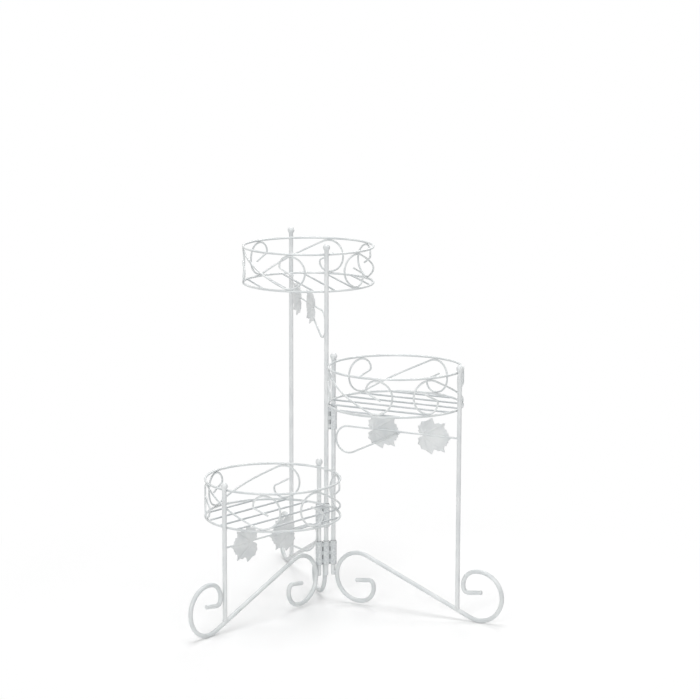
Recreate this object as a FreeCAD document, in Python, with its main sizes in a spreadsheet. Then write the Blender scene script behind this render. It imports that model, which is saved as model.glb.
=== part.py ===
"""Folding plant stand: three hinged wire panels, each carrying one round basket.

Every panel is drawn flat in its own upright plane: X runs from its inner post to its outer
post, Z is up, and Y is the panel's thickness.  The panels are then turned about their inner
posts, which stand side by side in the hinge sleeves.
"""
import FreeCAD
import Part
import Sketcher
import math
import os

doc = FreeCAD.newDocument("plant_stand")
sheet = doc.addObject("Spreadsheet::Sheet", "Dimensions")

# Driving dimensions, in millimetres and degrees.
DIMENSIONS = {
    # round tube, rod and wire stock
    "post_diameter": 8.0,
    "post_wall": 1.0,
    "foot_rod": 8.0,
    "ring_wire": 4.2,
    "slat_wire": 3.4,
    "scroll_wire": 3.4,
    "vine_wire": 3.4,
    # baskets
    "ring_radius": 120.0,
    "basket_depth": 67.0,
    "low_floor_height": 187.5,
    "tier_rise": 193.4,
    "slat_count": 6,
    # scrollwork of a basket wall, measured along the wall
    "scroll_middle": 71.0,
    "scroll_shoulder_radius": 18.0,
    "scroll_hook_radius": 5.5,
    "scroll_hook_turn": 63.0,
    "scroll_hook_length": 27.0,
    "side_scroll_angle": 114.0,
    # posts and finials
    "post_below_foot": 2.5,
    "finial_diameter": 13.0,
    "finial_spigot": 8.0,
    "spigot_clearance": 0.05,
    "tall_finial_rise": 14.0,
    "medium_finial_rise": 8.5,
    "low_finial_rise": 8.5,
    # scrolled feet
    "foot_vine_gap": 0.3,
    "foot_post_gap": 3.35,
    "foot_curl_lift": 3.5,
    "foot_curl_end": 283.0,
    "foot_inner_share": 0.6,
    "foot_inner_end": 375.0,
    "foot_hook_share": 0.2,
    "foot_hook_end": 457.0,
    "foot_tip_share": 0.578,
    # vines
    "vine_loop_radius": 24.5,
    "tall_vine_drop": 38.0,
    "medium_vine_drop": 50.0,
    "low_vine_drop": 35.5,
    "leaf_length": 66.0,
    "leaf_width": 66.0,
    "leaf_thickness": 1.0,
    "leaf_sag": 2.0,
    "leaf_gap": 16.2,
    "leaf_pitch": 100.0,
    # hinges
    "sleeve_diameter": 12.5,
    "sleeve_gap": 1.1,
    "hinge_clearance": 0.05,
    "sleeve_foot_gap": 17.75,
    "sleeve_loop_gap": 13.5,
    "sleeve_ring_gap": 1.0,
    "upper_right_loop_gap": 15.6,
    "weld_thickness": 4.0,
    "weld_length_share": 0.161,
    "weld_pitch_share": 0.345,
    # how far each panel is turned, seen from above
    "tall_yaw": 106.0,
    "medium_yaw": -28.0,
    "low_yaw": 230.0,
    # where the tall inner post stands from the middle of the stand, worked out at the end
    "stand_x": 0.0,
    "stand_y": 0.0,
}
# Sizes that follow from the driving ones.
DERIVED = {
    # a panel's rings just touch both of its posts, and its slats share the width evenly
    "post_spacing": "2 * ring_radius + ring_wire + post_diameter",
    "slat_pitch": "2 * ring_radius / slat_count",
    # posts end where the ball of the finial reaches the tube's outer edge
    "ball_seat": "sqrt((finial_diameter / 2) ^ 2 - (post_diameter / 2) ^ 2)",
    # the vines' loops touch the inner posts, and the feet reach up to the lowest loop
    "low_loop_height": "low_floor_height - low_vine_drop - vine_loop_radius",
    "medium_loop_height": "low_floor_height + tier_rise - medium_vine_drop - vine_loop_radius",
    "low_loop_bottom": "low_loop_height - vine_loop_radius - vine_wire / 2",
    "foot_top": "low_loop_bottom - foot_vine_gap",
    "foot_curl_radius": "(foot_top - foot_rod - foot_curl_lift) / 2",
    "foot_touch_height": "(foot_top + foot_curl_lift) / 2",
    # the outer curl stands clear of the outer post, and this is its reach beyond the post
    "foot_eye_reach": "foot_curl_radius * (1 - foot_inner_share) * cos(foot_curl_end * 1deg)",
    "foot_inner_radius": "foot_curl_radius * foot_inner_share",
    "foot_clearance": "(post_diameter + foot_rod) / 2 + foot_post_gap",
    "foot_overhang": "foot_clearance + foot_curl_radius + foot_inner_radius + foot_eye_reach",
    # hinge sleeves fill the room that the feet, loops and lowest basket leave on a post
    "hinge_pitch": "sleeve_diameter + sleeve_gap",
    "lower_hinge_height": "foot_touch_height + sleeve_foot_gap",
    "lower_hinge_length": "low_loop_height - sleeve_loop_gap - lower_hinge_height",
    "upper_left_hinge_height": "low_loop_height + sleeve_loop_gap",
    "upper_left_hinge_end": "low_floor_height - ring_wire / 2 - sleeve_ring_gap",
    "upper_left_hinge_length": "upper_left_hinge_end - upper_left_hinge_height",
    "upper_right_hinge_height": "medium_loop_height + upper_right_loop_gap",
    "upper_right_hinge_length": "upper_left_hinge_length",
}
cells = {}
rows = list(DIMENSIONS.items()) + [(name, "=" + text) for name, text in DERIVED.items()]
for row, (name, content) in enumerate(rows, start=1):
    cells[name] = "B%d" % row
    sheet.set("A%d" % row, name)
    sheet.set(cells[name], str(content))
    sheet.setAlias(cells[name], name)
doc.recompute()

PANELS = ("tall", "medium", "low")
# Tiers above the lowest basket, and places along the row of sleeves from the tall post.
TIER_SHARES = {"tall": 2, "medium": 1, "low": 0}
ROW_SHARES = {"tall": 0, "medium": 1, "low": -1}
# Leaves on a stem, counted back from the outer post.
LEAF_ROW_SHARES = {"outer": 0, "inner": 1}
# Half of a leaf from the notch at its stalk to its tip: shares of its length and half width.
LEAF_SHARES = (
    (0.15, 0.0), (0.0, 0.2), (0.0, 0.5), (0.1, 0.76), (0.38, 1.0), (0.45, 0.78),
    (0.6, 0.82), (0.8, 0.8), (0.79, 0.5), (0.86, 0.33), (0.9, 0.18), (1.0, 0.0),
)
# How much steeper a vine's tail rises than a straight line from its loop to the leaf's tip.
VINE_TAIL_SHARE = 0.1
# Tack welds of a hinge, counted from its middle in steps of the weld pitch.
WELD_ROW_SHARES = (-1, 0, 1)
parts = {}


def size(name):
    """The value of one cell of the sheet."""
    return float(sheet.get(name))


def formula(text):
    """An expression in which every named dimension is read from the sheet."""
    for name in cells:
        text = text.replace("<%s>" % name, "Dimensions." + name)
    return text


def bind(item, prop, text):
    item.setExpression(prop, formula(text))


def floor_formula(panel):
    return "(<low_floor_height> + %d * <tier_rise>)" % TIER_SHARES[panel]


def floor_height(panel):
    """Height of the middle of a basket's floor ring."""
    return size("low_floor_height") + TIER_SHARES[panel] * size("tier_rise")


def keep(part, label, panel, turn="<%s_yaw>"):
    """Name a finished sub-part and turn it about its panel's inner post."""
    part.Label = label
    upright = FreeCAD.Vector(0, 0, 1)
    part.Placement = FreeCAD.Placement(FreeCAD.Vector(), FreeCAD.Rotation(upright, 1))
    along = "%d * <hinge_pitch>" % ROW_SHARES[panel]
    bind(part, "Placement.Base.x", "<stand_x> + %s * sin(<tall_yaw> * 1deg)" % along)
    bind(part, "Placement.Base.y", "<stand_y> - %s * cos(<tall_yaw> * 1deg)" % along)
    bind(part, "Placement.Rotation.Angle", turn % panel if "%s" in turn else turn)
    parts[label] = part


def new_body(label):
    return doc.addObject("PartDesign::Body", label + "_body")


def new_sketch(body, role, name):
    """A sketch on one of the body's own origin planes."""
    plane = [feature for feature in body.Origin.OriginFeatures if feature.Role == role][0]
    sketch = body.newObject("Sketcher::SketchObject", name)
    sketch.AttachmentSupport = [(plane, "")]
    sketch.MapMode = "FlatFace"
    return sketch


def constrain(sketch, name, kind, *arguments, to):
    """A named sketch dimension that follows the sheet."""
    index = sketch.addConstraint(Sketcher.Constraint(kind, *arguments))
    sketch.renameConstraint(index, name)
    bind(sketch, "Constraints." + name, to)


def tube_section(sketch, outer, inner):
    """Two circles about the sketch's origin, given as formulas and first guesses."""
    for name, (text, guess) in (("outer", outer), ("inner", inner)):
        circle = Part.Circle(FreeCAD.Vector(), FreeCAD.Vector(0, 0, 1), guess / 2)
        index = sketch.addGeometry(circle)
        sketch.addConstraint(Sketcher.Constraint("Coincident", index, 3, -1, 1))
        constrain(sketch, name, "Diameter", index, guess, to=text)


def wire_section(sketch, wire, offset="0", guess=0):
    """A round wire's section; offset is a formula for its distance along the sketch's X."""
    middle = FreeCAD.Vector(guess, 0, 0)
    circle = sketch.addGeometry(Part.Circle(middle, FreeCAD.Vector(0, 0, 1), size(wire) / 2))
    if guess:
        sketch.addConstraint(Sketcher.Constraint("PointOnObject", circle, 3, -1))
        constrain(sketch, "middle", "DistanceX", -1, 1, circle, 3, guess, to=offset)
    else:
        sketch.addConstraint(Sketcher.Constraint("Coincident", circle, 3, -1, 1))
    constrain(sketch, "wire", "Diameter", circle, size(wire), to="<%s>" % wire)


def add_tube(label, outer, inner, start, length, across="0"):
    """An upright tube: diameters as (formula, guess) pairs, the rest as formulas."""
    body = new_body(label)
    sketch = new_sketch(body, "XY_Plane", label + "_section")
    tube_section(sketch, outer, inner)
    bind(sketch, "AttachmentOffset.Base.x", across)
    bind(sketch, "AttachmentOffset.Base.z", start)
    pad = body.newObject("PartDesign::Pad", label + "_length")
    pad.Profile = sketch
    bind(pad, "Length", length)
    return body


def ball_formula(panel):
    """Height of the middle of a panel's finials."""
    return "(%s + <basket_depth> + <%s_finial_rise>)" % (floor_formula(panel), panel)


def arc_point(centre, radius, turn):
    """The point of a circle at an angle, and the direction of travel there."""
    away = FreeCAD.Vector(math.cos(turn), math.sin(turn), 0)
    ahead = FreeCAD.Vector(-away.y, away.x, 0)
    return centre.add(away.multiply(radius)), ahead


def foot_middle():
    """The point about which a foot's two curls mirror each other."""
    inner_side = (size("post_diameter") + size("foot_rod")) / 2
    outer_side = size("post_spacing") + size("foot_overhang")
    return FreeCAD.Vector((inner_side + outer_side) / 2, size("foot_top") / 2, 0)


def foot_curl_centre():
    """The inner curl touches the inner post and reaches the foot's full height."""
    across = (size("post_diameter") + size("foot_rod")) / 2 + size("foot_curl_radius")
    return FreeCAD.Vector(across, size("foot_touch_height"), 0)


def foot_run():
    """Where a foot's straight run leaves its inner curl: the point and its angle on the curl."""
    centre, radius = foot_curl_centre(), size("foot_curl_radius")
    reach = foot_middle().sub(centre)
    turn = math.atan2(reach.y, reach.x) + math.acos(radius / reach.Length)
    return arc_point(centre, radius, turn)[0], turn


def add_inner_post(panel):
    start = "<foot_touch_height> - <post_below_foot>"
    return add_tube(
        panel + "_inner_post",
        ("<post_diameter>", size("post_diameter")),
        ("<post_diameter> - 2 * <post_wall>", size("post_diameter") - 2 * size("post_wall")),
        start,
        "%s - <ball_seat> - (%s)" % (ball_formula(panel), start),
    )


def add_outer_post(panel):
    """The outer post stands on the straight run of its foot, cut to the same slope."""
    label = panel + "_outer_post"
    body = add_tube(
        label,
        ("<post_diameter>", size("post_diameter")),
        ("<post_diameter> - 2 * <post_wall>", size("post_diameter") - 2 * size("post_wall")),
        "0",
        ball_formula(panel) + " - <ball_seat>",
        across="<post_spacing>",
    )
    touch, turn = foot_run()
    away = FreeCAD.Vector(math.cos(turn), math.sin(turn), 0)
    top = touch.add(away.multiply(size("foot_rod") / 2))
    near = size("post_spacing") - size("post_diameter")
    far = size("post_spacing") + size("post_diameter")
    heights = [top.y - (place - top.x) / math.tan(turn) for place in (near, far)]
    below = -size("post_diameter")
    outline = [(near, heights[0]), (far, heights[1]), (far, below), (near, below)]
    sketch = new_sketch(body, "XZ_Plane", label + "_mitre")
    closed_outline(sketch, outline)
    pocket = body.newObject("PartDesign::Pocket", label + "_cut")
    pocket.Profile = sketch
    pocket.SideType = "Symmetric"
    bind(pocket, "Length", "2 * <post_diameter>")
    return body


def closed_outline(sketch, outline):
    """Straight lines through the points and back to the first."""
    points = [FreeCAD.Vector(across, up, 0) for across, up in outline]
    sides = [
        sketch.addGeometry(Part.LineSegment(here, there))
        for here, there in zip(points, points[1:] + points[:1])
    ]
    for side, following in zip(sides, sides[1:] + sides[:1]):
        sketch.addConstraint(Sketcher.Constraint("Coincident", side, 2, following, 1))


def add_finial(panel, side):
    """A turned ball with a flat seat on the post's end and a spigot in its bore."""
    label = "%s_%s_finial" % (panel, side)
    body = new_body(label)
    sketch = new_sketch(body, "XZ_Plane", label + "_profile")
    radius, seat = size("finial_diameter") / 2, size("ball_seat")
    rim = size("post_diameter") / 2
    spigot = rim - size("post_wall") - size("spigot_clearance")
    low = -seat - size("finial_spigot")
    points = [(rim, -seat), (spigot, -seat), (spigot, low), (0, low), (0, radius)]
    points = [FreeCAD.Vector(across, up, 0) for across, up in points]
    for here, there in zip(points, points[1:]):
        sketch.addGeometry(Part.LineSegment(here, there))
    ball = Part.Circle(FreeCAD.Vector(), FreeCAD.Vector(0, 0, 1), radius)
    arc = sketch.addGeometry(Part.ArcOfCircle(ball, -math.asin(seat / radius), math.pi / 2))
    sketch.addConstraint(Sketcher.Constraint("Coincident", arc, 1, 0, 1))
    sketch.addConstraint(Sketcher.Constraint("Coincident", arc, 2, 3, 2))
    for line in range(3):
        sketch.addConstraint(Sketcher.Constraint("Coincident", line, 2, line + 1, 1))
    for line in (0, 2):
        sketch.addConstraint(Sketcher.Constraint("Horizontal", line))
    for line in (1, 3):
        sketch.addConstraint(Sketcher.Constraint("Vertical", line))
    sketch.addConstraint(Sketcher.Constraint("PointOnObject", 3, 2, -2))
    sketch.addConstraint(Sketcher.Constraint("Coincident", arc, 3, -1, 1))
    constrain(sketch, "ball", "Radius", arc, radius, to="<finial_diameter> / 2")
    constrain(sketch, "rim", "DistanceX", -1, 1, 0, 1, rim, to="<post_diameter> / 2")
    constrain(
        sketch, "spigot", "DistanceX", -1, 1, 1, 1, spigot,
        to="<post_diameter> / 2 - <post_wall> - <spigot_clearance>",
    )
    depth = size("finial_spigot")
    constrain(sketch, "depth", "DistanceY", 1, 2, 1, 1, depth, to="<finial_spigot>")
    bind(sketch, "AttachmentOffset.Base.x", "0" if side == "inner" else "<post_spacing>")
    bind(sketch, "AttachmentOffset.Base.y", ball_formula(panel))
    turned = body.newObject("PartDesign::Revolution", label + "_turned")
    turned.Profile = sketch
    turned.ReferenceAxis = (sketch, ["V_Axis"])
    turned.Angle = 360
    return body


def add_ring(panel, level, height):
    """A closed wire ring; height is a formula for the middle of the wire."""
    label = "%s_%s_ring" % (panel, level)
    body = new_body(label)
    sketch = new_sketch(body, "XZ_Plane", label + "_section")
    wire_section(sketch, "ring_wire", "<ring_radius>", size("ring_radius"))
    bind(sketch, "AttachmentOffset.Base.x", "<post_spacing> / 2")
    bind(sketch, "AttachmentOffset.Base.y", height)
    turned = body.newObject("PartDesign::Revolution", label + "_turned")
    turned.Profile = sketch
    turned.ReferenceAxis = (sketch, ["V_Axis"])
    turned.Angle = 360
    return body


def add_floor_slats(panel):
    """Parallel rods inside the floor ring, each as long as the ring allows at its place."""
    rods = []
    count = int(size("slat_count"))
    for index in range(count):
        rod = doc.addObject("Part::Cylinder", "%s_slat_%d" % (panel, index + 1))
        bind(rod, "Radius", "<slat_wire> / 2")
        place = "(%d - (<slat_count> - 1) / 2) * <slat_pitch>" % index
        edge = "(abs(%s) + <slat_wire> / 2)" % place
        half = "sqrt((<ring_radius> - <ring_wire> / 2) ^ 2 - %s ^ 2)" % edge
        bind(rod, "Height", "2 * %s" % half)
        rod.Placement = FreeCAD.Placement(
            FreeCAD.Vector(), FreeCAD.Rotation(FreeCAD.Vector(0, 1, 0), 90)
        )
        bind(rod, "Placement.Base.x", "<post_spacing> / 2 - %s" % half)
        bind(rod, "Placement.Base.y", place)
        bind(rod, "Placement.Base.z", floor_formula(panel))
        rods.append(rod)
    group = doc.addObject("Part::Compound", panel + "_floor_slats_group")
    group.Links = rods
    return group


def bend(start, heading, end, end_heading):
    """Two tangent arcs in space from one point and direction to another."""
    gap = end.sub(start)
    both = heading.add(end_heading)
    spread = 2 * (1 - heading.dot(end_heading))
    reach = gap.dot(both)
    leg = gap.Length ** 2 / (reach + math.sqrt(reach ** 2 + spread * gap.Length ** 2))
    first = start.add(FreeCAD.Vector(heading).multiply(leg))
    second = end.sub(FreeCAD.Vector(end_heading).multiply(leg))
    join = first.add(second).multiply(1 / 2)
    edges = []
    for near, corner, far in ((start, first, join), (join, second, end)):
        middle = near.add(far).multiply(1 / 2)
        rise = corner.sub(middle)
        half = far.sub(near).Length / 2
        sagitta = half * math.tan(math.atan2(rise.Length, half) / 2)
        crown = middle.add(rise.normalize().multiply(sagitta))
        edges.append(Part.Arc(near, crown, far).toShape())
    return edges


def scroll_stations():
    """Half of an unrolled wall scroll, from its middle to a hook: X along the wall, Y up."""
    wire, depth = size("scroll_wire"), size("basket_depth")
    curl = (depth - size("ring_wire") - wire) / 2
    centre = FreeCAD.Vector(size("scroll_middle"), 0, 0)
    touch = -math.pi / 2 - math.asin(curl / centre.Length)
    top = math.pi / 2
    shoulder = size("scroll_shoulder_radius")
    shoulder_centre = centre.add(FreeCAD.Vector(0, curl - shoulder, 0))
    hook = size("scroll_hook_radius")
    hook_centre = shoulder_centre.add(FreeCAD.Vector(hook - shoulder, 0, 0))
    hook_end = math.pi + math.radians(size("scroll_hook_turn"))
    last, ahead = arc_point(hook_centre, hook, hook_end)
    tip = last.add(FreeCAD.Vector(ahead).multiply(size("scroll_hook_length")))
    return [
        arc_point(centre, curl, touch),
        arc_point(centre, curl, (touch + top) / 2),
        arc_point(centre, curl, top),
        arc_point(shoulder_centre, shoulder, math.pi),
        (last, ahead),
        (tip, ahead),
    ]


def add_scrollwork(panel):
    """Three S-shaped wires bent round the basket wall between its rings."""
    radius = size("ring_radius")
    middle_height = floor_height(panel) + size("basket_depth") / 2
    outward = scroll_stations()
    inward = [
        (FreeCAD.Vector(-place.x, -place.y, 0), ahead) for place, ahead in reversed(outward)
    ]
    stations = inward + outward
    solids = []
    for angle in (-size("side_scroll_angle"), 0, size("side_scroll_angle")):
        points = []
        for place, ahead in stations:
            turn = math.radians(angle) + place.x / radius
            out = FreeCAD.Vector(math.cos(turn), math.sin(turn), 0)
            spot = FreeCAD.Vector(out).multiply(radius)
            spot = spot.add(FreeCAD.Vector(size("post_spacing") / 2, 0, middle_height + place.y))
            heading = FreeCAD.Vector(-out.y * ahead.x, out.x * ahead.x, ahead.y)
            points.append((spot, heading.normalize()))
        edges = []
        for (start, heading), (end, end_heading) in zip(points, points[1:]):
            edges += bend(start, heading, end, end_heading)
        solids.append(swept_wire(edges, points[0][0], points[0][1], "scroll_wire"))
    feature = doc.addObject("Part::Feature", panel + "_scrollwork_wires")
    feature.Shape = Part.makeCompound(solids)
    return feature


def swept_wire(edges, start, heading, wire):
    """A round wire swept along tangent edges from their first point."""
    section = Part.Wire(Part.Circle(start, heading, size(wire) / 2).toShape())
    return Part.Wire(edges).makePipeShell([section], True, False)


def foot_stations():
    """Arcs of a foot's inner curl: centre, radius, first and last angle, then the hook."""
    curl = size("foot_curl_radius")
    inner, hook = size("foot_inner_radius"), curl * size("foot_hook_share")
    curl_end, inner_end, hook_end = (
        math.radians(size(name)) for name in ("foot_curl_end", "foot_inner_end", "foot_hook_end")
    )
    centre = foot_curl_centre()
    inner_centre = arc_point(centre, curl - inner, curl_end)[0]
    hook_centre = arc_point(inner_centre, inner - hook, inner_end)[0]
    return [
        (centre, curl, foot_run()[1], curl_end),
        (inner_centre, inner, curl_end, inner_end),
        (hook_centre, hook, inner_end, hook_end),
    ]


def add_foot(panel):
    """One rod bent into an S with a curl at each end, the outer curl standing on the floor."""
    label = panel + "_foot_scroll"
    body = new_body(label)
    path = new_sketch(body, "XZ_Plane", label + "_path")
    arcs = foot_stations()
    last, ahead = arc_point(*arcs[-1][:2], arcs[-1][3])
    run = size("foot_curl_radius") * size("foot_tip_share")
    tip = last.add(FreeCAD.Vector(ahead).multiply(run))
    middle = foot_middle()

    def opposite(point):
        return FreeCAD.Vector(2 * middle.x - point.x, 2 * middle.y - point.y, 0)

    upright = FreeCAD.Vector(0, 0, 1)
    touch = foot_run()[0]
    path.addGeometry(Part.LineSegment(tip, last))
    for centre, radius, first, end in reversed(arcs):
        path.addGeometry(Part.ArcOfCircle(Part.Circle(centre, upright, radius), first, end))
    path.addGeometry(Part.LineSegment(touch, opposite(touch)))
    for centre, radius, first, end in arcs:
        circle = Part.Circle(opposite(centre), upright, radius)
        path.addGeometry(Part.ArcOfCircle(circle, first + math.pi, end + math.pi))
    path.addGeometry(Part.LineSegment(opposite(last), opposite(tip)))
    return pipe(body, path, label, "foot_rod")


def pipe(body, path, label, wire):
    """Sweep a wire section along a sketched path, from the path's first end."""
    doc.recompute()
    section = body.newObject("Sketcher::SketchObject", label + "_section")
    section.AttachmentSupport = [(path, "Edge1")]
    section.MapMode = "NormalToEdge"
    section.MapPathParameter = 0
    wire_section(section, wire)
    rod = body.newObject("PartDesign::AdditivePipe", label + "_rod")
    rod.Profile = section
    rod.Spine = (path, ["Edge%d" % (index + 1) for index in range(path.GeometryCount)])
    return body


def vine_height(panel):
    return floor_height(panel) - size(panel + "_vine_drop")


def leaf_tip(side):
    """Where a leaf ends, measured from the inner post."""
    return size("post_spacing") - size("leaf_gap") - LEAF_ROW_SHARES[side] * size("leaf_pitch")


def add_vine(panel):
    """A stem that leaves the outer post level, loops at the inner post and comes back up."""
    label = panel + "_vine_stem"
    body = new_body(label)
    path = new_sketch(body, "XZ_Plane", label + "_path")
    wire, radius = size("vine_wire"), size("vine_loop_radius")
    height = vine_height(panel)
    edge = size("post_spacing") - size("post_diameter") / 2
    centre = FreeCAD.Vector((size("post_diameter") + wire) / 2 + radius, height - radius, 0)
    # The tail rises until it meets the stem from below, beside the inner leaf's tip.
    rise = math.atan2(2 * radius - wire, leaf_tip("inner") - centre.x)
    turn = -math.pi / 2 + rise * (1 + VINE_TAIL_SHARE)
    last, ahead = arc_point(centre, radius, turn)
    run = (height - wire - last.y) / ahead.y
    tip = last.add(FreeCAD.Vector(ahead).multiply(run))
    level = FreeCAD.Vector(centre.x, height, 0)
    path.addGeometry(Part.LineSegment(FreeCAD.Vector(edge, height, 0), level))
    circle = Part.Circle(centre, FreeCAD.Vector(0, 0, 1), radius)
    path.addGeometry(Part.ArcOfCircle(circle, math.pi / 2, 2 * math.pi + turn))
    path.addGeometry(Part.LineSegment(last, tip))
    return pipe(body, path, label, "vine_wire")


def add_leaf(panel, side):
    """A pressed sheet leaf welded flat against the stem, tip towards the outer post."""
    label = "%s_%s_leaf" % (panel, side)
    body = new_body(label)
    sketch = new_sketch(body, "XZ_Plane", label + "_outline")
    length, half = size("leaf_length"), size("leaf_width") / 2
    start = leaf_tip(side) - length
    upper = [(start + along * length, aside * half) for along, aside in LEAF_SHARES]
    lower = [(along, -aside) for along, aside in reversed(upper[1:-1])]
    closed_outline(sketch, upper + lower)
    bind(
        sketch, "AttachmentOffset.Base.y",
        "%s - <%s_vine_drop> - <leaf_sag>" % (floor_formula(panel), panel),
    )
    bind(sketch, "AttachmentOffset.Base.z", "-<vine_wire> / 2")
    pad = body.newObject("PartDesign::Pad", label + "_sheet")
    pad.Profile = sketch
    pad.Reversed = True
    bind(pad, "Length", "<leaf_thickness>")
    return body


def add_sleeve(label, hinge):
    return add_tube(
        label,
        ("<sleeve_diameter>", size("sleeve_diameter")),
        ("<post_diameter> + 2 * <hinge_clearance>", size("post_diameter")),
        "<%s_height>" % hinge,
        "<%s_length>" % hinge,
    )


def add_welds(hinge, gaps):
    """Short tack welds that bridge neighbouring tubes of a hinge.

    gaps lists the place of each gap along the row and the formulas of its two tube diameters.
    """
    label, height, length = hinge + "_welds", "<%s_height>" % hinge, "<%s_length>" % hinge
    blocks, tubes = [], []
    for place, first, second in gaps:
        for step in WELD_ROW_SHARES:
            block = doc.addObject("Part::Box", label + "_block")
            bind(block, "Length", "<hinge_pitch>")
            bind(block, "Width", "<weld_thickness>")
            bind(block, "Height", "<weld_length_share> * " + length)
            bind(block, "Placement.Base.x", "%d * <hinge_pitch>" % place)
            bind(block, "Placement.Base.y", "-<weld_thickness> / 2")
            along = "(1 / 2 + %d * <weld_pitch_share> - <weld_length_share> / 2)" % step
            bind(block, "Placement.Base.z", "%s + %s * %s" % (height, along, length))
            blocks.append(block)
        for end, diameter in ((place, first), (place + 1, second)):
            tube = doc.addObject("Part::Cylinder", label + "_tube")
            bind(tube, "Radius", diameter + " / 2")
            bind(tube, "Height", length)
            bind(tube, "Placement.Base.x", "%d * <hinge_pitch>" % end)
            bind(tube, "Placement.Base.z", height)
            tubes.append(tube)
    bridge = doc.addObject("Part::Compound", label + "_blocks")
    bridge.Links = blocks
    cutter = doc.addObject("Part::MultiFuse", label + "_tubes")
    cutter.Shapes = tubes
    welds = doc.addObject("Part::Cut", label + "_cut")
    welds.Base = bridge
    welds.Tool = cutter
    return welds


for panel in PANELS:
    keep(add_inner_post(panel), panel + "_inner_post", panel)
    keep(add_outer_post(panel), panel + "_outer_post", panel)
    for side in ("inner", "outer"):
        keep(add_finial(panel, side), "%s_%s_finial" % (panel, side), panel)
        keep(add_leaf(panel, side), "%s_%s_leaf" % (panel, side), panel)
    keep(add_ring(panel, "floor", floor_formula(panel)), panel + "_floor_ring", panel)
    rim = floor_formula(panel) + " + <basket_depth>"
    keep(add_ring(panel, "top", rim), panel + "_top_ring", panel)
    keep(add_floor_slats(panel), panel + "_floor_slats", panel)
    keep(add_scrollwork(panel), panel + "_scrollwork", panel)
    keep(add_vine(panel), panel + "_vine_stem", panel)
    keep(add_foot(panel), panel + "_foot_scroll", panel)

for panel in PANELS:
    label = "lower_hinge_%s_sleeve" % panel
    keep(add_sleeve(label, "lower_hinge"), label, panel)
for panel in ("tall", "low"):
    label = "upper_left_hinge_%s_sleeve" % panel
    keep(add_sleeve(label, "upper_left_hinge"), label, panel)
label = "upper_right_hinge_sleeve"
keep(add_sleeve(label, "upper_right_hinge"), label, "medium")

WELDS = {
    "lower_hinge": [(-1, "<sleeve_diameter>", "<sleeve_diameter>"),
                    (0, "<sleeve_diameter>", "<sleeve_diameter>")],
    "upper_left_hinge": [(-1, "<sleeve_diameter>", "<sleeve_diameter>")],
    "upper_right_hinge": [(0, "<post_diameter>", "<sleeve_diameter>")],
}
for hinge, gaps in WELDS.items():
    keep(add_welds(hinge, gaps), hinge + "_welds", "tall", turn="<tall_yaw> - 90")

doc.recompute()

# Centre the stand over its footprint.
whole = FreeCAD.BoundBox()
for part in parts.values():
    whole.add(part.Shape.optimalBoundingBox(False, False))
sheet.set(cells["stand_x"], repr(-whole.Center.x))
sheet.set(cells["stand_y"], repr(-whole.Center.y))
doc.recompute()

for item in doc.Objects:
    if {"Invalid", "Error"} & set(item.State):
        raise RuntimeError("%s failed: %s" % (item.Label, item.State))
os.makedirs("parts", exist_ok=True)
for label, part in parts.items():
    if part.Shape.isNull() or not part.Shape.isValid():
        raise RuntimeError(label + " has no valid shape")
for label, part in parts.items():
    part.Shape.exportStep("parts/%s.step" % label)
    print(label, len(part.Shape.Solids), "solids", round(part.Shape.Volume), "mm3")
print("tall post stands at", size("stand_x"), size("stand_y"), "heights", whole.ZMin, whole.ZMax)
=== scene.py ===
"""Folding plant stand: three hinged panels of white powder-coated wire with a basket each.

Pieces are shaped in millimetres as a panel lies on its welding jig: X runs from the inner post
to the outer post, Z is up and Y goes through the panel.  Each is then stood up in its place.
"""
import math

import bmesh
import bpy
from mathutils import Matrix, Vector


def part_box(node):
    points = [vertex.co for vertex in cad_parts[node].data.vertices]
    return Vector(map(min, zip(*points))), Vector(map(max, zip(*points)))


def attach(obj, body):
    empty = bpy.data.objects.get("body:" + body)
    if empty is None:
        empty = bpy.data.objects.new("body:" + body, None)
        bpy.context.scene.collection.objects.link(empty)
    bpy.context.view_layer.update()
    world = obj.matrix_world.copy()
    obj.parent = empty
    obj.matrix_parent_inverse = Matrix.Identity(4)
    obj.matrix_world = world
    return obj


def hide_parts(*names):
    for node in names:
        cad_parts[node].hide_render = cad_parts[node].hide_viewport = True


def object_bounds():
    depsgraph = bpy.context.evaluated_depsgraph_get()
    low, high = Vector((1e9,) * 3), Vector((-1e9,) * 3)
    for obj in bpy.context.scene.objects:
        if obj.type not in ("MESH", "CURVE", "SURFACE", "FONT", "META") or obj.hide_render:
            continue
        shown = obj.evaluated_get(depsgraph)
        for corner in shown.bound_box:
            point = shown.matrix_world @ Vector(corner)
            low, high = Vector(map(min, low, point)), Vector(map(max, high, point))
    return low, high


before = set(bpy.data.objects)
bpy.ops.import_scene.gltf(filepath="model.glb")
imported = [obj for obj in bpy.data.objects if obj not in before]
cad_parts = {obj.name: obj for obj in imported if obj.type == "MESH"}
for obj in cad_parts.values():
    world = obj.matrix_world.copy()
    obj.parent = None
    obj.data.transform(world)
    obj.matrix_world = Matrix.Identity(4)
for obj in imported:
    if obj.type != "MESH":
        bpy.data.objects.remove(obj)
cad_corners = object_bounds()

# Feet: one mild steel rod for each panel, cold bent into an S with a curl at both ends.  The
# inner curl leans on the inner post and the outer one stands on the floor.  The whole stand is
# sprayed with one white polyester powder and baked, which leaves a satin skin.
MM = 0.001
PANEL_BODIES = {"tall": "stand", "medium": "medium_panel", "low": "low_panel"}
POST_DIAMETER = 8.0
FOOT_ROD = 8.0
FOOT_CURL_LIFT = 3.5
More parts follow.
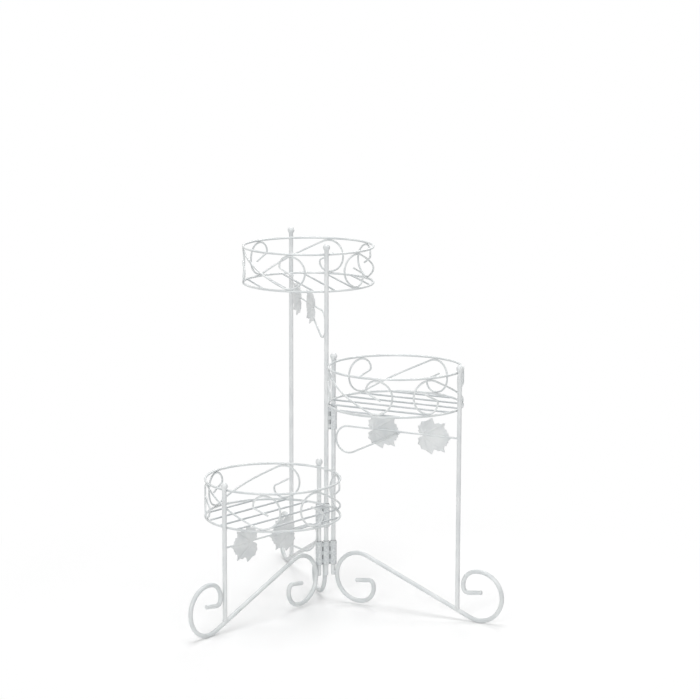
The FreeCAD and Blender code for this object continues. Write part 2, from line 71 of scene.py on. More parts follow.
# The angle at which a curl ends, then the radius and the end of the two bends inside it.
FOOT_CURL_END = 283
FOOT_INNER_BEND = (27.0, 375)
FOOT_HOOK_BEND = (9.0, 457)
FOOT_HOOK_LENGTH = 26.0
BAR_SIDES = 24
BEND_STEP = 3
RUN_STEP = 6.0
SHEAR_ROUND_SHARE = 0.12
SHARP_ANGLE = 40
# Corners of one piece, and of the two halves of an S, that lie this close become one.
CORNER_GAP = 0.001
HALVES_GAP = 0.01
# Where the noise of the coat's patches stands for thin and for full film, how much duller the
# thin film is and how much glossier the full one.
PATCH_THIN = 0.35
PATCH_FULL = 0.65
PATCH_DETAIL = 4
THIN_DULLER = 0.06
FULL_GLOSSIER = 0.04
PEEL_DETAIL = 2
# Dust nibs in the film: spacing and height in mm, width as a share of the spacing.
NIB_SPACING = 9.0
NIB_WIDTH_SHARE = 0.08
NIB_HEIGHT = 0.15
NIB_STRENGTH = 0.6
RESIN_WEIGHT = 0.2
RESIN_ROUGHNESS = 0.18
# The sockets of a Mix node that hold its two colours and the mixed one.
MIX_FIRST, MIX_SECOND, MIX_RESULT = 6, 7, 2


def linear(code):
    """A hex sRGB colour as linear red, green, blue and alpha."""
    parts = [int(code[place:place + 2], 16) / 255 for place in (1, 3, 5)]
    return [
        part / 12.92 if part <= 0.04045 else ((part + 0.055) / 1.055) ** 2.4 for part in parts
    ] + [1]


def add_node(material, kind, settings, links=None):
    """Add a node and return its outputs.

    settings holds its properties and the values of its sockets, and links the outputs that feed
    its sockets.  A socket goes by its name, or by its number where others share the name.
    """
    added = material.node_tree.nodes.new(kind)
    for name, value in settings.items():
        if isinstance(name, str) and hasattr(added, name):
            setattr(added, name, value)
        else:
            added.inputs[name].default_value = value
    for name, source in (links or {}).items():
        material.node_tree.links.new(source, added.inputs[name])
    return added.outputs


def powder_coat(name, full, thin, patch, peel, peel_height, roughness):
    """Satin polyester powder: colours of full and thin film, then in mm the width of its patches
    and the width and height of its orange peel."""
    material = bpy.data.materials.new(name)
    material.use_nodes = True
    place = add_node(material, "ShaderNodeTexCoord", {})["Object"]
    # The film settles in patches, a little greyer and duller where it is thin.
    patches = add_node(
        material, "ShaderNodeTexNoise", {"Scale": 1 / (patch * MM), "Detail": PATCH_DETAIL},
        {"Vector": place},
    )
    film = add_node(
        material, "ShaderNodeMapRange", {"From Min": PATCH_THIN, "From Max": PATCH_FULL},
        {"Value": patches["Fac"]},
    )["Result"]
    colour = add_node(
        material, "ShaderNodeMix",
        {"data_type": "RGBA", MIX_FIRST: linear(thin), MIX_SECOND: linear(full)},
        {"Factor": film},
    )[MIX_RESULT]
    gloss = add_node(
        material, "ShaderNodeMapRange",
        {"To Min": roughness + THIN_DULLER, "To Max": roughness - FULL_GLOSSIER},
        {"Value": film},
    )["Result"]
    # Orange peel, drawn as wide as the real one, with a few dust nibs caught in the film.
    waves = add_node(
        material, "ShaderNodeTexNoise", {"Scale": 1 / (peel * MM), "Detail": PEEL_DETAIL},
        {"Vector": place},
    )
    waved = add_node(
        material, "ShaderNodeBump", {"Distance": peel_height * MM, "Strength": 1},
        {"Height": waves["Fac"]},
    )
    dust = add_node(
        material, "ShaderNodeTexVoronoi", {"Scale": 1 / (NIB_SPACING * MM), "Randomness": 1},
        {"Vector": place},
    )
    nibs = add_node(
        material, "ShaderNodeMapRange",
        {"From Min": 0, "From Max": NIB_WIDTH_SHARE, "To Min": 1, "To Max": 0},
        {"Value": dust["Distance"]},
    )
    skin = add_node(
        material, "ShaderNodeBump", {"Distance": NIB_HEIGHT * MM, "Strength": NIB_STRENGTH},
        {"Height": nibs["Result"], "Normal": waved["Normal"]},
    )["Normal"]
    coat = material.node_tree.nodes["Principled BSDF"]
    coat.inputs["Coat Weight"].default_value = RESIN_WEIGHT
    coat.inputs["Coat Roughness"].default_value = RESIN_ROUGHNESS
    for socket, source in (("Base Color", colour), ("Roughness", gloss), ("Normal", skin)):
        material.node_tree.links.new(source, coat.inputs[socket])
    return material


def node_middle(node):
    low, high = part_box(node)
    return (low + high) / 2


def stand_up(shape, name, place, body, material, slot, *nodes):
    """Make a finished bmesh a piece that rides on a body and stands for the nodes."""
    bmesh.ops.remove_doubles(shape, verts=shape.verts, dist=CORNER_GAP)
    bmesh.ops.recalc_face_normals(shape, faces=shape.faces)
    bmesh.ops.transform(shape, matrix=place, verts=shape.verts)
    mesh = bpy.data.meshes.new(name)
    shape.to_mesh(mesh)
    shape.free()
    mesh.shade_smooth()
    mesh.set_sharp_from_angle(angle=math.radians(SHARP_ANGLE))
    mesh.materials.append(material)
    piece = bpy.data.objects.new(name, mesh)
    bpy.context.scene.collection.objects.link(piece)
    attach(piece, body)
    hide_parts(*nodes)
    return piece


def start_bar(shape, diameter, place, heading):
    """The open end of a round bar, square to its heading."""
    facing = heading.to_track_quat("Z", "Y").to_matrix().to_4x4()
    circle = bmesh.ops.create_circle(
        shape, segments=BAR_SIDES, radius=diameter / 2, matrix=Matrix.Translation(place) @ facing
    )["verts"]
    return circle + list(dict.fromkeys(edge for vert in circle for edge in vert.link_edges))


def run_bar(shape, end, place, heading, length):
    """Lengthen a bar straight on; returns its new end and place."""
    steps = max(1, round(length / RUN_STEP))
    end = bmesh.ops.spin(
        shape, geom=end, cent=place, axis=(0, -1, 0), dvec=heading * length / steps,
        angle=0, steps=steps,
    )["geom_last"]
    return end, place + heading * length


def bend_bar(shape, end, place, heading, radius, angle):
    """Bend a bar from X towards Z; returns its new end, place and heading."""
    pivot = place + heading.cross(Vector((0, 1, 0))) * radius
    steps = max(1, round(math.degrees(angle) / BEND_STEP))
    end = bmesh.ops.spin(
        shape, geom=end, cent=pivot, axis=(0, -1, 0), angle=angle, steps=steps
    )["geom_last"]
    swing = Matrix.Rotation(angle, 3, (0, -1, 0))
    return end, pivot + swing @ (place - pivot), swing @ heading


def shear_bar(shape, end, diameter):
    """Close the end of a bar with the shears' flat cut, rounded by the coat."""
    rim = [item for item in end if isinstance(item, bmesh.types.BMEdge)]
    bmesh.ops.contextual_create(shape, geom=rim)
    bmesh.ops.bevel(
        shape, geom=rim, offset=diameter * SHEAR_ROUND_SHARE, segments=2, profile=0.5,
        affect="EDGES", material=-1,
    )


def bend_s(shape, diameter, eye, bends, tip):
    """Bend a bar from the middle of an S into one curl, and turn a copy over for the other.

    eye is the centre of the curl's first bend, seen from the middle.  bends lists the radius of
    each bend and the angle at which it ends.
    """
    radius = bends[0][0]
    angle = math.atan2(-eye.z, -eye.x) + math.acos(radius / eye.length)
    heading = Vector((-math.sin(angle), 0, math.cos(angle)))
    place = Vector()
    end = start_bar(shape, diameter, place, heading)
    end, place = run_bar(shape, end, place, heading, math.sqrt(eye.length ** 2 - radius ** 2))
    for radius, last in bends:
        turn = math.radians(last) - angle
        end, place, heading = bend_bar(shape, end, place, heading, radius, turn)
        angle = math.radians(last)
    end, place = run_bar(shape, end, place, heading, tip)
    shear_bar(shape, end, diameter)
    half = shape.verts[:] + shape.edges[:] + shape.faces[:]
    copied = bmesh.ops.duplicate(shape, geom=half)["geom"]
    bmesh.ops.rotate(
        shape, cent=(0, 0, 0), matrix=Matrix.Rotation(math.pi, 3, "Y"),
        verts=[item for item in copied if isinstance(item, bmesh.types.BMVert)],
    )
    bmesh.ops.remove_doubles(shape, verts=shape.verts, dist=HALVES_GAP)


# Over the mill skin of the rod the powder flows out to a fine peel with a soft shine.
# Its colours are set a little darker than the tube's: painted shade that tones down the lit tops
# of the foot rods.
coat_on_rod_with_painted_shade = powder_coat(
    "satin_powder_coat_darkened_as_painted_shade_on_rod", full="#E2E5E5", thin="#D3D7D8", patch=35,
    peel=2.4, peel_height=0.05, roughness=0.34,
)
jig, spacing, foot_curls, foot_runs = {}, {}, {}, {}
for panel, body in PANEL_BODIES.items():
    inner, outer = node_middle(panel + "_inner_post"), node_middle(panel + "_outer_post")
    across = outer.xy - inner.xy
    spacing[panel] = across.length / MM
    jig[panel] = (
        Matrix.Translation((inner.x, inner.y, 0))
        @ Matrix.Rotation(math.atan2(across.y, across.x), 4, "Z")
        @ Matrix.Scale(MM, 4)
    )
    node = panel + "_foot_scroll"
    low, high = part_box(node)
    length = math.hypot(*((high - low).xy / MM - Vector((FOOT_ROD, FOOT_ROD)))) + FOOT_ROD
    top = high.z / MM
    middle = Vector((POST_DIAMETER / 2 + length / 2, 0, top / 2))
    curl = (top - FOOT_ROD - FOOT_CURL_LIFT) / 2
    foot_curls[panel] = top - FOOT_ROD / 2 - curl
    eye = Vector((POST_DIAMETER / 2 + FOOT_ROD / 2 + curl, 0, foot_curls[panel])) - middle
    shape = bmesh.new()
    bends = [(curl, FOOT_CURL_END), FOOT_INNER_BEND, FOOT_HOOK_BEND]
    bend_s(shape, FOOT_ROD, eye, bends, FOOT_HOOK_LENGTH)
    bmesh.ops.translate(shape, verts=shape.verts, vec=middle)
    stand_up(shape, panel + "_foot", jig[panel], body, coat_on_rod_with_painted_shade, "foot_rod", node)
    # The straight run, for what stands on it: its middle and the way that its top faces.
    rise = math.atan2(-eye.z, -eye.x) + math.acos(curl / eye.length)
    foot_runs[panel] = middle, Vector((math.cos(rise), 0, math.sin(rise)))

# Posts: drawn steel tube.  The inner one turns in its hinge sleeves and stays open below, with
# the saw's burr rounded off.  The outer one is cut to the slope of the foot and welded on it.
POST_WALL = 1.0
POST_LIP = 0.3
TURN_STEPS = 32


def heights(node):
    """Lowest and highest point of a node in millimetres."""
    low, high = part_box(node)
    return low.z / MM, high.z / MM


def turned(outline):
    """Turn a closed outline of (radius, height) corners about Z."""
    shape = bmesh.new()
    verts = [shape.verts.new((radius, 0, height)) for radius, height in outline]
    edges = [shape.edges.new(pair) for pair in zip(verts, verts[1:] + verts[:1])]
    bmesh.ops.spin(
        shape, geom=verts + edges, cent=(0, 0, 0), axis=(0, 0, 1), angle=2 * math.pi,
        steps=TURN_STEPS, use_merge=True,
    )
    return shape


def tube(radius, bore, low, high, lip):
    """A tube whose two ends are rounded off by a small lip."""
    return turned([
        (radius, low + lip), (radius, high - lip), (radius - lip, high), (bore + lip, high),
        (bore, high - lip), (bore, low + lip), (bore + lip, low), (radius - lip, low),
    ])


# Drawn tube is smoother than rod, so the peel lies wider on it and the skin shines a little more.
coat_on_tube = powder_coat(
    "satin_powder_coat_on_tube", full="#E9EBEB", thin="#DCDFE0", patch=35,
    peel=3.0, peel_height=0.05, roughness=0.32,
)
for panel, body in PANEL_BODIES.items():
    for side, place in (("inner", 0), ("outer", spacing[panel])):
        node = "%s_%s_post" % (panel, side)
        low, high = heights(node)
        shape = tube(POST_DIAMETER / 2, POST_DIAMETER / 2 - POST_WALL, low, high, POST_LIP)
        bmesh.ops.translate(shape, verts=shape.verts, vec=(place, 0, 0))
        if side == "outer":
            run_middle, facing = foot_runs[panel]
            bmesh.ops.translate(
                shape, vec=(0, 0, -POST_DIAMETER),
                verts=[vert for vert in shape.verts if vert.co.z < low + POST_DIAMETER],
            )
            cut = bmesh.ops.bisect_plane(
                shape, geom=shape.verts[:] + shape.edges[:] + shape.faces[:],
                plane_co=run_middle + facing * FOOT_ROD / 2, plane_no=facing, clear_inner=True,
            )["geom_cut"]
            rims = [item for item in cut if isinstance(item, bmesh.types.BMEdge)]
            bmesh.ops.bridge_loops(shape, edges=rims)
        stand_up(shape, "%s_%s_tube" % (panel, side), jig[panel], body, coat_on_tube,
                 "post_tube", node)

# Ball finials: solid steel balls, each on a spigot in the open top of a post, with a short neck
# where the weld round it was dressed smooth.
FINIAL_DIAMETER = 13.0
BALL_SIDES = 32
NECK_HEIGHT = 1.2
NECK_SWELL = 0.7

for panel, body in PANEL_BODIES.items():
    for side, place in (("inner", 0), ("outer", spacing[panel])):
        node = "%s_%s_finial" % (panel, side)
        radius = FINIAL_DIAMETER / 2
        ball_middle = heights(node)[1] - radius
        seat = math.sqrt(radius ** 2 - (POST_DIAMETER / 2) ** 2)
        shape = bmesh.new()
        bmesh.ops.create_uvsphere(
            shape, u_segments=BALL_SIDES, v_segments=BALL_SIDES // 2, radius=radius
        )
        rim = bmesh.ops.bisect_plane(
            shape, geom=shape.verts[:] + shape.edges[:] + shape.faces[:],
            plane_co=(0, 0, -seat + NECK_HEIGHT), plane_no=(0, 0, 1), clear_inner=True,
        )["geom_cut"]
        # The neck leaves the ball, swells over the weld and closes on the post.
        for width in (POST_DIAMETER / 2 + NECK_SWELL, POST_DIAMETER / 2):
            rim = bmesh.ops.spin(
                shape, geom=rim, cent=(0, 0, 0), axis=(0, 0, 1), dvec=(0, 0, -NECK_HEIGHT),
                angle=0, steps=1,
            )["geom_last"]
            verts = [item for item in rim if isinstance(item, bmesh.types.BMVert)]
            share = width / verts[0].co.xy.length
            bmesh.ops.scale(shape, vec=(share, share, 1), verts=verts)
        bmesh.ops.contextual_create(
            shape, geom=[item for item in rim if isinstance(item, bmesh.types.BMEdge)]
        )
        bmesh.ops.translate(shape, verts=shape.verts, vec=(place, 0, ball_middle))
        stand_up(shape, "%s_%s_ball" % (panel, side), jig[panel], body, coat_on_tube,
                 "ball_finial", node)

# Basket rings: 4.2 mm wire rolled into a hoop and butt welded.  The two hoops of a basket touch
# both posts from inside.
RING_WIRE = 4.2
HOOP_STEPS = 180

# Powder runs off thin wire as it melts, so the film on it is thinner and greyer than on rod.
coat_on_wire = powder_coat(
    "satin_powder_coat_on_wire", full="#E1E4E4", thin="#D2D6D7", patch=35,
    peel=2.4, peel_height=0.05, roughness=0.34,
)
hoop_radius, hoop_heights = {}, {}
for panel, body in PANEL_BODIES.items():
    middle = spacing[panel] / 2
    hoop_radius[panel] = middle - POST_DIAMETER / 2 - RING_WIRE / 2
    hoop_heights[panel] = {}
    for level in ("floor", "top"):
        node = "%s_%s_ring" % (panel, level)
        height = hoop_heights[panel][level] = sum(heights(node)) / 2
        start = Vector((middle + hoop_radius[panel], 0, height))
        shape = bmesh.new()
        hoop = start_bar(shape, RING_WIRE, start, Vector((0, 1, 0)))
        bmesh.ops.spin(
            shape, geom=hoop, cent=(middle, 0, height), axis=(0, 0, 1), angle=2 * math.pi,
            steps=HOOP_STEPS, use_merge=True,
        )
        stand_up(shape, "%s_%s_hoop" % (panel, level), jig[panel], body, coat_on_wire,
                 "basket_wire", node)

# Basket floor: six straight wires side by side inside the lower hoop, each sheared to the
# length that the hoop leaves it and welded at both ends.
SLAT_WIRE = 3.4
SLAT_COUNT = 6

# Inside the basket the floor wires get a darker coat: painted shade for the little light that
# reaches them there.
coat_inside_with_painted_shade = powder_coat(
    "powder_coat_inside_basket_with_painted_shade", full="#CACDCF", thin="#BBC0C2", patch=35,
    peel=2.4, peel_height=0.05, roughness=0.36,
)
slat_ends = {}
for panel, body in PANEL_BODIES.items():
    node = panel + "_floor_slats"
    height = sum(heights(node)) / 2
    middle = spacing[panel] / 2
    pitch = 2 * hoop_radius[panel] / SLAT_COUNT
    bore = hoop_radius[panel] - RING_WIRE / 2
    slat_ends[panel] = []
    shape = bmesh.new()
    for index in range(SLAT_COUNT):
        aside = (index - (SLAT_COUNT - 1) / 2) * pitch
        half = math.sqrt(bore ** 2 - (abs(aside) + SLAT_WIRE / 2) ** 2)
        start, heading = Vector((middle - half, aside, height)), Vector((1, 0, 0))
        first = start_bar(shape, SLAT_WIRE, start, heading)
        last, stop = run_bar(shape, first, start, heading, 2 * half)
        shear_bar(shape, first, SLAT_WIRE)
        shear_bar(shape, last, SLAT_WIRE)
        slat_ends[panel] += [start, stop]
    stand_up(shape, panel + "_floor_wires", jig[panel], body, coat_inside_with_painted_shade, "basket_wire", node)

# Wall scrolls: three S-shaped wires in each basket wall, bent flat on a peg board and then
# rolled to the curve of the hoops that they are welded between.
SCROLL_WIRE = 3.4
# Half of the distance between the middles of its two curls.
SCROLL_EYE = 71.0
# The angle at which a curl ends, then the radius and the end of the two bends inside it.
SCROLL_CURL_END = 90
SCROLL_SHOULDER_BEND = (18.0, 180)
SCROLL_HOOK_BEND = (5.5, 243)
SCROLL_HOOK_LENGTH = 27.0
# Where the middles of the three stand round the basket, the outer post being at 0.
SCROLL_ANGLES = (-114, 0, 114)


def roll(shape, radius, angle, axis):
    """Roll a flat shape round an upright axis, with its own middle at the angle."""
    for vert in shape.verts:
        turn = math.radians(angle) + vert.co.x / radius
        reach = radius - vert.co.y
        vert.co = axis + Vector((reach * math.cos(turn), reach * math.sin(turn), vert.co.z))


def add_shape(whole, part):
    """Put a finished part into a whole that is still being made."""
    held = bpy.data.meshes.new("part")
    part.to_mesh(held)
    part.free()
    whole.from_mesh(held)
    bpy.data.meshes.remove(held)


for panel, body in PANEL_BODIES.items():
    floor, rim = hoop_heights[panel].values()
    middle = spacing[panel] / 2
    curl = (rim - floor - RING_WIRE - SCROLL_WIRE) / 2
    bends = [(curl, SCROLL_CURL_END), SCROLL_SHOULDER_BEND, SCROLL_HOOK_BEND]
    walls = bmesh.new()
    for angle in SCROLL_ANGLES:
        shape = bmesh.new()
        bend_s(shape, SCROLL_WIRE, Vector((SCROLL_EYE, 0, 0)), bends, SCROLL_HOOK_LENGTH)
        roll(shape, hoop_radius[panel], angle, Vector((middle, 0, (floor + rim) / 2)))
        add_shape(walls, shape)
    stand_up(walls, panel + "_wall_scrolls", jig[panel], body, coat_on_wire, "scroll_wire",
             panel + "_scrollwork")

# Vines: one steel wire that leaves the outer post level, loops back at the inner post and rises
# to meet itself under the inner leaf.  It is welded to both posts and to itself.
VINE_WIRE = 3.4
VINE_LOOP_RADIUS = 24.5
# The tail climbs this share faster than a line from the loop to the inner leaf's tip.
VINE_TAIL_SHARE = 0.1
LEAF_LENGTH = 66.0

stems, leaf_starts = {}, {}
for panel, body in PANEL_BODIES.items():
    node = panel + "_vine_stem"
    height = heights(node)[1] - VINE_WIRE / 2
    leaf_starts[panel] = {}
    for side in ("inner", "outer"):
        leaf_middle = jig[panel].inverted() @ node_middle("%s_%s_leaf" % (panel, side))
        leaf_starts[panel][side] = leaf_middle - Vector((LEAF_LENGTH / 2, 0, 0))
    loop_middle = (POST_DIAMETER + VINE_WIRE) / 2 + VINE_LOOP_RADIUS
    inner_tip = leaf_starts[panel]["inner"].x + LEAF_LENGTH
    rise = math.atan2(2 * VINE_LOOP_RADIUS - VINE_WIRE, inner_tip - loop_middle)
    rise *= 1 + VINE_TAIL_SHARE
    shape = bmesh.new()
    place = Vector((spacing[panel] - POST_DIAMETER / 2, 0, height))
    heading = Vector((-1, 0, 0))
    first = start_bar(shape, VINE_WIRE, place, heading)
    end, place = run_bar(shape, first, place, heading, place.x - loop_middle)
    end, place, heading = bend_bar(
        shape, end, place, heading, VINE_LOOP_RADIUS, math.pi + rise
    )
    tail = (height - VINE_WIRE - place.z) / heading.z
    end, place = run_bar(shape, end, place, heading, tail)
    shear_bar(shape, first, VINE_WIRE)
    shear_bar(shape, end, VINE_WIRE)
    stems[panel] = height, loop_middle, place
    stand_up(shape, panel + "_vine", jig[panel], body, coat_on_wire, "vine_wire", node)

# Leaves: maple shapes stamped from 1 mm sheet, with the veins pressed up from behind and the
# lobes left slightly dished.  They are tacked flat behind the stem by two spot welds.
LEAF_WIDTH = 66.0
LEAF_THICKNESS = 1.0
# Half of the outline from the notch at the stalk to the tip: shares of length and half width.
LEAF_SHARES = (
    (0.17, 0.0), (0.06, 0.1), (0.0, 0.22), (0.03, 0.3), (0.0, 0.5), (0.07, 0.58), (0.1, 0.76),
    (0.22, 0.8), (0.39, 0.99), (0.42, 1.0), (0.45, 0.82), (0.49, 0.71), (0.55, 0.74),
    (0.61, 0.79), (0.68, 0.73), (0.79, 0.81), (0.81, 0.79), (0.78, 0.62), (0.79, 0.47),
    (0.85, 0.45), (0.87, 0.31), (0.91, 0.26), (0.91, 0.16), (1.0, 0.0),
)
# The tips of the veins on that half, in the same shares.
VEIN_SHARES = ((1.0, 0.0), (0.8, 0.8), (0.4, 1.0), (0.05, 0.48))
VEIN_HEIGHT = 1.2
VEIN_WIDTH = 1.4
# A vein rises over the first share of its length and is lower by the second at its tip.
VEIN_START_SHARE = 0.25
VEIN_FADE_SHARE = 0.6
LEAF_HEART_SHARE = 0.42
LEAF_EDGE_CUTS = 3
LEAF_LOOPS = 16
LEAF_DISH = {"inner": 4.2, "outer": 2.2}


def vein_distance(spot, foot, tip):
    """Distance of a spot from a vein, and how far along the vein it is."""
    along = tip - foot
    share = min(max((spot - foot).dot(along) / along.length_squared, 0), 1)
    return (spot - foot - along * share).length, share


# On pressed sheet the film lies evenly, with a close peel that takes off some of its shine.
coat_on_leaf = powder_coat(
    "satin_powder_coat_on_pressed_leaf", full="#E9EBEB", thin="#DADDDE", patch=35,
    peel=1.8, peel_height=0.06, roughness=0.4,
)
for panel, body in PANEL_BODIES.items():
    for side in ("inner", "outer"):
        half = LEAF_WIDTH / 2
        upper = [(along * LEAF_LENGTH, aside * half) for along, aside in LEAF_SHARES]
        lower = [(along, -aside) for along, aside in reversed(upper[1:-1])]
        shape = bmesh.new()
        corners = [shape.verts.new((along, 0, aside)) for along, aside in upper + lower]
        rim = [shape.edges.new(pair) for pair in zip(corners, corners[1:] + corners[:1])]
        bmesh.ops.subdivide_edges(shape, edges=rim, cuts=LEAF_EDGE_CUTS)
        rim = shape.edges[:]
        heart = Vector((LEAF_HEART_SHARE * LEAF_LENGTH, 0, 0))
        for loop in range(LEAF_LOOPS, 1, -1):
            grown = bmesh.ops.extrude_edge_only(shape, edges=rim)["geom"]
            verts = [item for item in grown if isinstance(item, bmesh.types.BMVert)]
            new_verts = set(verts)
            rim = [edge for edge in shape.edges if set(edge.verts) <= new_verts]
            share = (loop - 1) / loop
            bmesh.ops.scale(
                shape, vec=(share, 1, share), space=Matrix.Translation(-heart), verts=verts
            )
        bmesh.ops.pointmerge(shape, verts=verts, merge_co=heart)
        stalk = Vector((LEAF_SHARES[0][0] * LEAF_LENGTH, 0, 0))
        tips = [
            Vector((along * LEAF_LENGTH, 0, aside * half * sign))
            for along, aside in VEIN_SHARES for sign in (1, -1)
        ]
        for vert in shape.verts:
            spot = vert.co.copy()
            dished = LEAF_DISH[side] * (spot.z / half) ** 2
            ridge = 0
            for tip in tips:
                gap, share = vein_distance(spot, stalk, tip)
                height = VEIN_HEIGHT * (1 - VEIN_FADE_SHARE * share)
                height *= min(1, share / VEIN_START_SHARE)
                ridge = max(ridge, height * math.exp(-(gap / VEIN_WIDTH) ** 2))
            vert.co.y = VINE_WIRE / 2 + dished - ridge
        bmesh.ops.translate(
            shape, verts=shape.verts,
            vec=(leaf_starts[panel][side].x, 0, leaf_starts[panel][side].z),
        )
        piece = stand_up(shape, "%s_%s_maple_leaf" % (panel, side), jig[panel], body, coat_on_leaf,
                         "leaf_sheet", "%s_%s_leaf" % (panel, side))
        sheet = piece.modifiers.new("sheet", "SOLIDIFY")
        sheet.thickness = LEAF_THICKNESS * MM
        sheet.offset = 0

# Hinge sleeves: short lengths of thicker tube side by side, one round each inner post, in which
# the low and medium panels turn.
SLEEVE_DIAMETER = 12.5
SLEEVE_CLEARANCE = 0.05
SLEEVE_LIP = 0.5
HINGES = {
    "lower_hinge": ("low", "tall", "medium"),
    "upper_left_hinge": ("low", "tall"),
    "upper_right_hinge": ("medium",),
}

# Between three tubes so close together the powder lands unevenly and shows grey in small patches.
coat_on_sleeve = powder_coat(
    "mottled_powder_coat_on_sleeve", full="#E4E7E7", thin="#CBCFD1", patch=3,
    peel=1.5, peel_height=0.12, roughness=0.4,
)
sleeve_middles = {}
for hinge, panels in HINGES.items():
    sleeve_middles[hinge] = []
    for panel in panels:
        node = hinge + ("_%s_sleeve" % panel if len(panels) > 1 else "_sleeve")
        low, high = heights(node)
        middle = node_middle(node)
        sleeve_middles[hinge].append(middle)
        shape = tube(
            SLEEVE_DIAMETER / 2, POST_DIAMETER / 2 + SLEEVE_CLEARANCE, low, high, SLEEVE_LIP
        )
        place = Matrix.Translation((middle.x, middle.y, 0)) @ Matrix.Scale(MM, 4)
        stand_up(shape, node.replace("_sleeve", "_barrel"), place, "stand", coat_on_sleeve,
                 "hinge_sleeve", node)

# Welds: short hand-laid beads, each a row of small overlapping puddles, left as they are under
# the coat.  Each puddle below is given by its reach along X, Y and Z.
PUDDLE_STEP = 1.2
PUDDLE_ROUNDNESS = 2
HOOP_PUDDLE = Vector((1.0, 0.9, 0.8))
HOOP_BEAD_HALF = Vector((0, 1.6, 0))
HOOP_BEAD_SEAT_SHARE = 0.8
SLAT_PUDDLE = Vector((1.1, 2.2, 1.5))
SCROLL_PUDDLE = Vector((0.9, 0.9, 0.7))
SCROLL_BEAD_HALF = 2.4
STEM_PUDDLE = Vector((1.0, 2.0, 2.0))
LOOP_PUDDLE = Vector((0.8, 1.2, 3.0))
TAIL_PUDDLE = Vector((2.0, 1.0, 0.8))
LEAF_PUDDLE = Vector((2.4, 0.8, 1.2))
LEAF_TACK_SHARES = (0.3, 0.75)
CURL_PUDDLE = Vector((0.9, 1.2, 1.0))
CURL_BEAD_ASIDE = 1.2
CURL_BEAD_START = 1.0
CURL_BEAD_RISE = 6.0
SEAT_PUDDLE = Vector((1.2, 1.2, 1.0))
SEAT_PUDDLES = 16


def add_puddle(shape, place, reach):
    """One puddle of weld metal, flattened to its reach along each axis."""
    bmesh.ops.create_icosphere(
        shape, subdivisions=PUDDLE_ROUNDNESS, radius=1,
        matrix=Matrix.LocRotScale(place, None, reach),
    )


def add_bead(shape, start, stop, reach):
    """A row of overlapping puddles from one point to another."""
    count = max(2, round((stop - start).length / PUDDLE_STEP) + 1)
    for index in range(count):
        add_puddle(shape, start.lerp(stop, index / (count - 1)), reach)


# The powder follows each ripple of a weld, which leaves it bumpy and duller than the wires.
coat_on_weld = powder_coat(
    "satin_powder_coat_on_weld", full="#E6E8E8", thin="#D3D6D8", patch=35,
    peel=0.9, peel_height=0.12, roughness=0.38,
)
for panel, body in PANEL_BODIES.items():
    shape = bmesh.new()
    width = spacing[panel]
    floor, rim = hoop_heights[panel].values()
    # Hoops to posts, above and below the wire.
    for height in (floor, rim):
        for place in (POST_DIAMETER / 2, width - POST_DIAMETER / 2):
            for side in (-1, 1):
                seat = height + side * RING_WIRE / 2 * HOOP_BEAD_SEAT_SHARE
                spot = Vector((place, 0, seat))
                add_bead(shape, spot - HOOP_BEAD_HALF, spot + HOOP_BEAD_HALF, HOOP_PUDDLE)
    # Floor wires to the hoop.
    for spot in slat_ends[panel]:
        add_puddle(shape, spot, SLAT_PUDDLE)
    # Scrolls to the hoops, where their curls touch them.
    for angle in SCROLL_ANGLES:
        for reach in (-SCROLL_EYE, SCROLL_EYE):
            turn = math.radians(angle) + reach / hoop_radius[panel]
            out = Vector((math.cos(turn), math.sin(turn), 0))
            for height in (floor + RING_WIRE / 2, rim - RING_WIRE / 2):
                spot = Vector((width / 2, 0, height)) + out * hoop_radius[panel]
                along = Vector((-out.y, out.x, 0)) * SCROLL_BEAD_HALF
                add_bead(shape, spot - along, spot + along, SCROLL_PUDDLE)
    # Stem to the posts, tail to the stem, and each leaf to the stem.
    height, loop_middle, tail = stems[panel]
    add_puddle(shape, Vector((width - POST_DIAMETER / 2, 0, height)), STEM_PUDDLE)
    add_puddle(shape, Vector((POST_DIAMETER / 2, 0, height - VINE_LOOP_RADIUS)), LOOP_PUDDLE)
    add_puddle(shape, tail + Vector((0, 0, VINE_WIRE / 2)), TAIL_PUDDLE)
    for start in leaf_starts[panel].values():
        for share in LEAF_TACK_SHARES:
            spot = Vector((start.x + share * LEAF_LENGTH, VINE_WIRE / 2, height - VINE_WIRE / 3))
            add_puddle(shape, spot, LEAF_PUDDLE)
    # Foot to the inner post, on both sides of where the curl leans on it.
    bead_start = Vector((0, 0, heights(panel + "_inner_post")[0] + CURL_BEAD_START))
    bead_stop = Vector((0, 0, foot_curls[panel] + CURL_BEAD_RISE))
    for side in (-1, 1):
        spot = Vector((POST_DIAMETER / 2, side * CURL_BEAD_ASIDE, 0))
        add_bead(shape, spot + bead_start, spot + bead_stop, CURL_PUDDLE)
    # The outer post all round on the slope of the foot.
    run_middle, facing = foot_runs[panel]
    across = Vector((facing.z, 0, -facing.x))
    on_rod = run_middle + facing * FOOT_ROD / 2
    on_rod += across * ((width - on_rod.x) / across.x)
    for step in range(SEAT_PUDDLES):
        turn = 2 * math.pi * step / SEAT_PUDDLES
        out = Vector((math.cos(turn), math.sin(turn), 0)) * POST_DIAMETER / 2
        drop = across.z / across.x * out.x
        add_puddle(shape, on_rod + out + Vector((0, 0, drop)), SEAT_PUDDLE)
    stand_up(shape, panel + "_welds", jig[panel], body, coat_on_weld, "weld_bead")

# Hinge tacks: the sleeves of a hinge are tacked to each other, or to the tall post, in the slot
# between the tubes.  A dark block in bare-steel colour fills the bottom of each slot as painted
# shade.
SLOT_GAPS = {"lower_hinge": (-1, 0), "upper_left_hinge": (-1,), "upper_right_hinge": (0,)}
SLOT_SHADE_THICKNESS = 3.0
SLOT_SHADE_LAP = 0.5
SLOT_SHADE_SETBACK = 0.5
TACK_STEPS = (-1, 0, 1)
TACK_PITCH = 15.0
